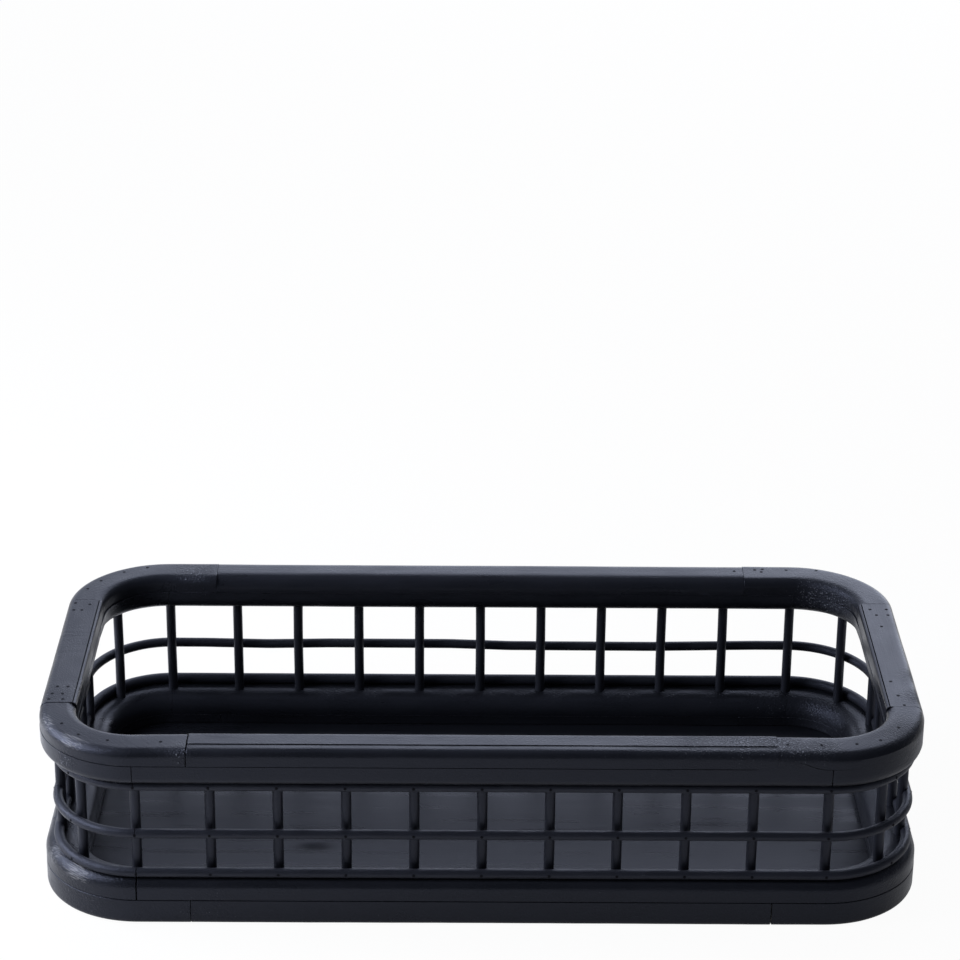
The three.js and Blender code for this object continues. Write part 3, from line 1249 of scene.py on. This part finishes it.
    def pins(self) -> list[Shell]:
        """Makes a low round head on each hoop at each spindle.

        A head is three rings and two end faces: a foot inside the hoop's skin, a shoulder of the same width
        and a narrower top that stands a little proud of the skin.

        Returns:
            One closed skin for each head.
        """
        angle = turns(self.pin_sides)
        sizes = np.array([1.0, 1.0, self.pin_top_share])[:, None] * self.pin_radius
        across, up = sizes * np.cos(angle)[None, :], sizes * np.sin(angle)[None, :]
        shoulder = self.pin_shoulder_share * self.pin_proud
        proud = np.array([-self.pin_depth, shoulder, self.pin_proud])[:, None]
        shells = []
        for hoop in self.HOOPS:
            low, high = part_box(hoop)
            middle, outer = (low.z + high.z) / 2, high.x - self.plan.arc_x
            for node in self.spindle_nodes():
                x, y = self.axis(node)
                foot_x, foot_y, nx, ny = self.plan.outward(x, y)
                out, rise, swell = self.shift(hoop, np.array(x), np.array(nx), np.array(ny))
                reach = outer + swell + out + proud
                px = foot_x + nx * reach - ny * across
                py = foot_y + ny * reach + nx * across
                points = np.stack([px, py, middle + rise + up], -1)
                shells.append(skin(points, points, np.zeros(points.shape[:2])))
        return shells

    def build(self) -> None:
        """Makes the spindles, the hoops and the pins."""
        material = self.finish.material()
        for k, node in enumerate(self.spindle_nodes()):
            rod = self.spindle(node, self.spindle_seed + 3 * k)
            settle(make_piece(f"{node}_turned", [rod], material), Slot.ROD, node)
        for k, node in enumerate(self.HOOPS):
            rod = self.hoop(node, self.hoop_seed + 3 * k)
            settle(make_piece(f"{node}_bent", [rod], material), Slot.ROD, node)
        settle(make_piece("hoop_pins", self.pins(), self.iron.material()), Slot.ROD)


@dataclass
class RailPins:
    """Pin nails driven flush into the top of the top rail, beside the joints and round the corners."""

    iron: PinIron
    radius: float = 1.0 * MM
    proud: float = 0.05 * MM
    depth: float = 1.2 * MM
    sides: int = 10

    # Millimetres from the tray's middle: along it, and across it.
    PLACES_MM = (
        (-249, 64), (-240, 62), (-249, 54), (-244, 54),
        (-246, -49), (-240, -49), (-248, -58), (-242, -58), (-249, -65), (-241, -65),
        (-238, -94), (-227, -107), (-210, -114), (-180, -116),
        (-244, 85), (-237, 97), (-224, 110), (-210, 117),
        (160, 116), (173, 118), (178, 119), (177, 115), (193, 118), (212, 118),
        (239, 61), (249, 61), (242, 53), (249, 53), (243, 37),
        (239, -37), (241, -55), (243, -67),
        (236, -94), (224, -109), (210, -114), (190, -116), (171, -116),
    )

    def surface(self, rails: list[Piece], x: float, y: float) -> float:
        """Gives the height at which a plumb line from above first meets a rail piece.

        Args:
            rails: The pieces of the top rail.
            x: Place along the tray.
            y: Place across the tray.

        Returns:
            The height, at most the rail's highest face less the pin's own stand.
        """
        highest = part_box("top_rail_front")[1].z
        graph = bpy.context.evaluated_depsgraph_get()
        start, down = Vector((x, y, 2 * highest)), Vector((0, 0, -1))
        hits = [BVHTree.FromObject(rail, graph).ray_cast(start, down)[0] for rail in rails]
        return min(max([hit.z for hit in hits if hit is not None], default=highest), highest - self.proud)

    def build(self, rails: list[Piece]) -> None:
        """Makes every head as a short upright rod that ends just above the rail's surface.

        Args:
            rails: The pieces of the top rail.
        """
        places = np.array(self.PLACES_MM) * MM
        heights = [self.surface(rails, x, y) + self.proud for x, y in places]
        angle = turns(self.sides)
        ring = np.stack([np.cos(angle), np.sin(angle)], -1) * self.radius
        shells = []
        for (x, y), height in zip(places, heights):
            levels = np.array([height - self.depth, height])[:, None]
            flat = np.broadcast_to(ring + (x, y), (2, self.sides, 2))
            points = np.concatenate([flat, np.broadcast_to(levels, (2, self.sides))[..., None]], -1)
            shells.append(skin(points, points, np.zeros((2, self.sides))))
        settle(make_piece("rail_pins", shells, self.iron.material()), Slot.RAIL)


@dataclass
class FloorPanel:
    """The plywood floor, let into the groove of the bottom rail."""

    plan: TrayPlan
    finish: SatinBlackPaint
    sag: float = 0.25 * MM
    edge_ease: float = 0.3 * MM
    rings: int = 90
    ring_range: Pair = (0.02, 0.98)
    rim_steps: Pair = (4 * MM, 3 * MM)
    seed: int = 71
    rub: float = 0.25
    rub_cell: Pair = (30 * MM, 12 * MM)
    grit: float = 0.06
    grit_cell: Pair = (40 * MM, 15 * MM)
    grain_shift: float = 0.37
    # The dry knot: its place along and across the tray, half length and half width, in millimetres.
    knot_mm: Four = (-98, -54, 11, 5.5)
    # Dents by place along and across the tray, half length, half width and depth, in millimetres.
    dents_mm: tuple[Five, ...] = (
        (-99, -53, 6, 5, 0.3),
        (-150, -56, 26, 4, 0.14),
        (-190, -24, 20, 8, 0.16),
        (38, -52, 30, 4, 0.1),
        (120, -30, 24, 5, 0.12),
    )

    def build(self) -> None:
        """Makes the floor as rings from its middle to its rim, over and under.

        Each ring is the rim scaled towards the middle. The top sinks by the product of two parabolas, one
        along each side, so that it is lowest in the middle, and by a bell curve at each dent. The knot is
        dry inside an ellipse whose edge is a bell curve of the fourth power.
        """
        low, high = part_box("floor_panel")
        inset = self.plan.arc_x + self.plan.radius - high.x
        along = self.plan.stations(0.0, self.plan.around, *self.rim_steps)[:-1]
        level = np.zeros((len(along), 1))
        rim = self.plan.place(along, level + inset, level)[:, 0, :2]
        ease = self.edge_ease
        scales = np.concatenate([np.linspace(*self.ring_range, self.rings), [1 - ease / high.y, 1.0]])
        drops = np.concatenate([np.zeros(self.rings + 1), [ease]])
        top = rim[None] * scales[:, None, None]
        bowl = (1 - (top[..., 0] / high.x) ** 2) * (1 - (top[..., 1] / high.y) ** 2)
        top_z = high.z - drops[:, None] - self.sag * bowl
        for x, y, long, wide, depth in self.dents_mm:
            far = ((top[..., 0] / MM - x) / long) ** 2 + ((top[..., 1] / MM - y) / wide) ** 2
            top_z = top_z - depth * MM * np.exp(-far)
        bottom = top[::-1]
        bottom_z = np.broadcast_to((low.z + drops[::-1])[:, None], top_z.shape)
        flat = np.concatenate([top, bottom])
        points = np.concatenate([flat, np.concatenate([top_z, bottom_z])[..., None]], -1)
        wear = self.rub * lattice_noise(*np.moveaxis(flat / self.rub_cell, -1, 0), self.seed) ** 3
        x, y, long, wide = self.knot_mm
        far = ((flat[..., 0] / MM - x) / long) ** 2 + ((flat[..., 1] / MM - y) / wide) ** 2
        wear -= np.exp(-(far**2))
        grit = self.grit * lattice_noise(*np.moveaxis(flat / self.grit_cell, -1, 0), self.seed + 1)
        shell = skin(points, points + self.grain_shift, wear, grit)
        piece = make_piece("floor_panel_laid", [shell], self.finish.material())
        settle(piece, Slot.FLOOR, "floor_panel")


@dataclass
class Studio:
    """White floor, soft lamps and the camera at the photograph's place."""

    floor_side: float = 12.0
    floor_colour: str = "#f6f3ec"
    floor_roughness: float = 0.95
    floor_white_share: float = 0.96
    floor_mirror_share: float = 0.32
    floor_mirror_share_behind: float = 1.0
    floor_mirror_rise: Pair = (0.15, 0.5)
    lamp_colour: str = "#e4ebff"
    world_colour: str = "#dfe8ff"
    world_strength: float = 0.17
    aim_mm: Triple = (-1.79, 0.0, 222.56)
    distance_mm: float = 1750.1
    pitch_deg: float = 22.978
    yaw_deg: float = 0.44
    roll_deg: float = 0.494
    focal_mm: float = 112.98
    sensor_mm: float = 36.0

    # The panels behind the tray: name, place along it, width and radiance.
    BACK_PANELS = (("left", -1.2, 1.4, 0.95), ("middle", 0.0, 1.0, 1.95), ("right", 1.2, 1.4, 2.55))

    def floor(self) -> None:
        """Lays a white paper floor that keeps the tray's shadow, and marks it as stage.

        Camera rays see almost plain white. Glossy and transmission rays see a mix of white and the lit
        paper, which is whiter behind the tray than in front of it.
        """
        half = self.floor_side / 2
        mesh = bpy.data.meshes.new("paper_floor")
        corners = [(-half, -half, 0.0), (half, -half, 0.0), (half, half, 0.0), (-half, half, 0.0)]
        mesh.from_pydata(corners, [], [(0, 1, 2, 3)])
        material = bpy.data.materials.new("white_paper_floor")
        material.use_nodes = True
        tree = material.node_tree
        paper = tree.nodes["Principled BSDF"]
        paper.inputs["Base Color"].default_value = hex_to_linear(self.floor_colour)
        paper.inputs["Roughness"].default_value = self.floor_roughness
        paper.inputs["Specular IOR Level"].default_value = 0.0
        rays = ("Is Camera Ray", "Is Glossy Ray", "Is Transmission Ray")
        camera, glossy, passed = (add_node(tree, "LightPath", out=ray) for ray in rays)
        mirrored = add_node(tree, "Math", {"operation": "ADD"}, {0: glossy, 1: passed})
        times_white = {"operation": "MULTIPLY", 1: self.floor_white_share}
        seen = add_node(tree, "Math", times_white, {0: camera})
        place = add_node(tree, "TexCoord", out="Object")
        across = add_node(tree, "SeparateXYZ", {}, {0: place}, out="Y")
        rise = {
            "From Min": self.floor_mirror_rise[0],
            "From Max": self.floor_mirror_rise[1],
            "To Min": self.floor_mirror_share,
            "To Max": self.floor_mirror_share_behind,
        }
        whiter = add_node(tree, "MapRange", rise, {"Value": across})
        mixing = {"operation": "MULTIPLY_ADD", "use_clamp": True}
        share = add_node(tree, "Math", mixing, {0: mirrored, 1: whiter, 2: seen})
        white = add_node(tree, "Emission", {"Strength": 1.0})
        mixed = add_node(tree, "MixShader", {}, {0: share, 1: paper.outputs["BSDF"], 2: white})
        tree.links.new(mixed, tree.nodes["Material Output"].inputs["Surface"])
        mesh.materials.append(material)
        floor = bpy.data.objects.new("paper_floor", mesh)
        bpy.context.scene.collection.objects.link(floor)
        floor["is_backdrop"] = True

    def lamp(self, name: str, place: Triple, target: Triple, size: Pair, radiance: float) -> None:
        """Hangs one soft rectangular lamp.

        Args:
            name: The lamp's name.
            place: Its middle, in metres.
            target: The point it faces.
            size: Its width and height.
            radiance: Brightness of its face, where 1 is white.
        """
        data = bpy.data.lights.new(name, "AREA")
        data.shape = "RECTANGLE"
        data.size, data.size_y = size
        data.color = hex_to_linear(self.lamp_colour)[:3]
        data.energy = radiance * math.pi * size[0] * size[1]
        lamp = bpy.data.objects.new(name, data)
        lamp.location = place
        lamp.rotation_euler = (Vector(target) - Vector(place)).to_track_quat("-Z", "Y").to_euler()
        bpy.context.scene.collection.objects.link(lamp)

    def world(self) -> None:
        """Sets an even pale world."""
        world = bpy.data.worlds.new("pale_room")
        world.use_nodes = True
        sky = world.node_tree.nodes["Background"]
        sky.inputs["Color"].default_value = hex_to_linear(self.world_colour)
        sky.inputs["Strength"].default_value = self.world_strength
        bpy.context.scene.world = world

    def camera(self) -> None:
        """Sets the camera at the photograph's viewing angle."""
        pitch, yaw, roll = (math.radians(a) for a in (self.pitch_deg, self.yaw_deg, self.roll_deg))
        ahead = math.cos(pitch)
        forward = Vector((math.sin(yaw) * ahead, math.cos(yaw) * ahead, -math.sin(pitch)))
        level = Vector((math.cos(yaw), -math.sin(yaw), 0.0))
        rise = level.cross(forward)
        right = level * math.cos(roll) + rise * math.sin(roll)
        up = rise * math.cos(roll) - level * math.sin(roll)
        data = bpy.data.cameras.new("photo_camera")
        data.sensor_width = self.sensor_mm
        data.lens = self.focal_mm
        data.clip_end = 100.0
        camera = bpy.data.objects.new("photo_camera", data)
        turn = Matrix((right, up, -forward)).transposed()
        eye = Vector(self.aim_mm) * MM - forward * (self.distance_mm * MM)
        camera.matrix_world = Matrix.Translation(eye) @ turn.to_4x4()
        bpy.context.scene.collection.objects.link(camera)
        bpy.context.scene.camera = camera

    def build(self) -> None:
        """Sets up the floor, the light, the camera and the plain view."""
        self.floor()
        self.world()
        for name, x, width, radiance in self.BACK_PANELS:
            self.lamp(f"back_{name}_panel", (x, 2.4, 1.3), (x, 0.0, 0.9), (width, 2.8), radiance)
        self.lamp("upper_back_panel", (0.0, 1.5, 2.3), (0.0, 0.0, 0.1), (3.2, 1.4), 0.32)
        self.lamp("overhead_panel", (0.0, -0.2, 2.6), (0.0, 0.0, 0.0), (2.6, 1.6), 0.22)
        self.lamp("left_panel", (-0.95, -0.02, 0.56), (-0.35, -0.02, 0.0), (0.9, 0.6), 11.0)
        self.camera()
        bpy.context.scene.view_settings.view_transform = "Standard"


# Worn places by kind: millimetres along, across and up from the origin, then reach and strength.
TOP_WORN_MM = {
    # Scuffs at the front-left corner and on the right bar's outer edge: grey of rubbed paint, partly a
    # painted highlight.
    Mark.SCUFF_AND_HIGHLIGHT: (
        (-246, -90, 108, 20, 0.9), (-230, -111, 108, 22, 0.9), (-207, -121, 109, 18, 0.65),
        (-180, -123, 109, 16, 0.6), (250, -60, 110, 26, 0.4),
    ),
    # Grit at the back-right inner corner and on the right bar's outer edge: sandy paint whose pale specks
    # are partly painted glints.
    Mark.GRIT_AND_GLINT: (
        (165, -114, 112, 14, 1.0), (145, -114, 112, 16, 0.95), (120, -115, 112, 18, 0.7),
        (95, -115, 112, 18, 0.4), (176, -120, 111, 10, 1.0), (190, -119, 111, 10, 0.9),
        (253, -55, 110, 9, 0.9), (253, -28, 110, 8, 0.6), (219, 94, 102, 15, 0.85),
        (207, 100, 102, 15, 0.8), (227, 84, 102, 13, 0.7), (-168, -124, 108, 7, 0.8),
        (-246, -57, 111, 12, 0.6), (-180, 112, 108, 13, 0.8), (-232, -104, 112, 30, 0.15),
        (-234, -112, 98, 7, 0.8), (240, -95, 112, 22, 0.4),
    ),
    Mark.DRY: ((232, -100, 112, 34, 0.45),),
}
# Places along the back bottom rail's inner ridge where the grit's pale specks paint in glints along the
# ridge's highlight.
BACK_RIDGE_MM = (-95, -70, -20, 5, 25, 50, 82, 95, 120, 150)
BOTTOM_WORN_MM = {
    # Scuffs at the front-left corner: grey of rubbed paint, partly a painted highlight.
    Mark.SCUFF_AND_HIGHLIGHT: (
        (-246, -92, 26, 20, 0.9), (-230, -111, 26, 22, 0.95), (-207, -121, 26, 16, 0.55),
        (224, -106, 26, 18, 0.5),
    ),
    # Grit along the back ridge and at the back-right inner corner: sandy paint whose pale specks are partly
    # painted glints.
    Mark.GRIT_AND_GLINT: (
        *((x, 113, 29, 9, 0.6) for x in BACK_RIDGE_MM),
        (214, 97, 20, 24, 0.5), (190, 103, 22, 20, 0.5), (226, 84, 20, 18, 0.5),
        (-150, -126, 12, 16, 0.4), (-166, -127, 8, 6, 0.6), (-225, -117, 6, 20, 0.45),
        (-234, -110, 15, 16, 0.45), (230, -108, 24, 18, 0.45),
    ),
}
TOP_GLUE_LINE = GlueLine(((349, 374), (386, 560)), climb_mm=5.0, climb_along_mm=371, climb_reach_mm=9.5)


def main() -> None:
    """Builds the tray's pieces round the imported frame, in order."""
    logging.basicConfig(level=logging.INFO, format="%(name)s: %(message)s")
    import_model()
    cad_low, cad_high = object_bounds()
    plan = TrayPlan.from_frame(cad_low, cad_high)
    rail_paint = SatinBlackPaint("satin_black_enamel_on_rails")
    rod_paint = SatinBlackPaint(
        "satin_black_enamel_on_rods", dark="#1c1d21", pale="#292a2f", roughness=0.42, fibre_mm=(22.0, 0.8)
    )
    floor_paint = SatinBlackPaint(
        "satin_black_enamel_on_plywood",
        dark="#101114",
        pale="#1a1b1f",
        specular=0.2,
        relief_strength=0.2,
        fibre_mm=(110.0, 1.6),
        mottle_mm=(110.0, 9.0),
    )
    side_inner = RoutedEdge(2.1, 3.0, step_mm=0.8, shelf_mm=0.7, shelf_drop_mm=-0.6)
    side_edges = (RoutedEdge(5, 5), side_inner)
    under_edges = (RoutedEdge(3.3, 3.3), RoutedEdge(3, 3))
    top = Rail(
        plan,
        "top_rail",
        FreeSide.UP,
        face_ply=10.5 * MM,
        finish=rail_paint,
        seed=1000,
        bar_edges=(
            (RoutedEdge(5, 5, step_mm=0.45, shelf_mm=3.8, shelf_drop_mm=-0.16), RoutedEdge(4.5, 4.5)),
            side_edges,
            (RoutedEdge(7, 5), RoutedEdge(8.3, 8.3)),
            side_edges,
        ),
        corner_edges=(RoutedEdge(5.5, 5), RoutedEdge(5.5, 5.5)),
        cage_edges=(RoutedEdge(5, 5), RoutedEdge(8, 8)),
        face_open=(0.15, 0.25, 0.25, 0.9),
        cage_open=(0.8, 0.2, 0.2, 0.5),
        corner_crown_mm={
            "corner_front_right": 1.8,
            "corner_front_left": 1.4,
            "corner_back_right": 0.35,
            "corner_back_left": 0.35,
        },
        inner_trim_mm={
            "front": (1.1, 1.1, 1.1),
            "corner_front_right": (1.1, 2.0, 3.2),
            "right": (3.2, 3.2, 3.2),
            "corner_back_right": (3.2, 1.2, 0.0),
            "corner_back_left": (0.0, 1.2, 3.6),
            "left": (3.6, 3.6, 3.6),
            "corner_front_left": (3.6, 2.8, 1.1),
        },
        piece_grit={
            "front": 0.12,
            "left": 0.16,
            "right": -0.4,
            "corner_front_left": -0.3,
            "corner_front_right": 0.12,
        },
        worn_mm=TOP_WORN_MM,
        sawn={"left": (0.25, 0.6)},
        glue_line=TOP_GLUE_LINE,
    )
    bottom = Rail(
        plan,
        "bottom_rail",
        FreeSide.DOWN,
        face_ply=15.5 * MM,
        finish=rail_paint,
        seed=2000,
        bar_edges=(under_edges,) * 4,
        corner_edges=under_edges,
        cage_edges=(RoutedEdge(8, 6.8), RoutedEdge(13, 12)),
        face_open=(0.9, 0.3, 0.3, 0.5),
        cage_open=(0.0, 0.2, 0.2, 1.0),
        outer_ease=0.34 * MM,
        floor_groove=(5.8 * MM, 11.4 * MM, 8.3 * MM),
        worn_mm=BOTTOM_WORN_MM,
    )
    top_pieces = top.build()
    bottom.build()
    iron = PinIron()
    RodCage(plan, rod_paint, iron).build()
    RailPins(iron).build(top_pieces)
    FloorPanel(plan, floor_paint).build()
    Studio().build()


if __name__ == "__main__":
    main()
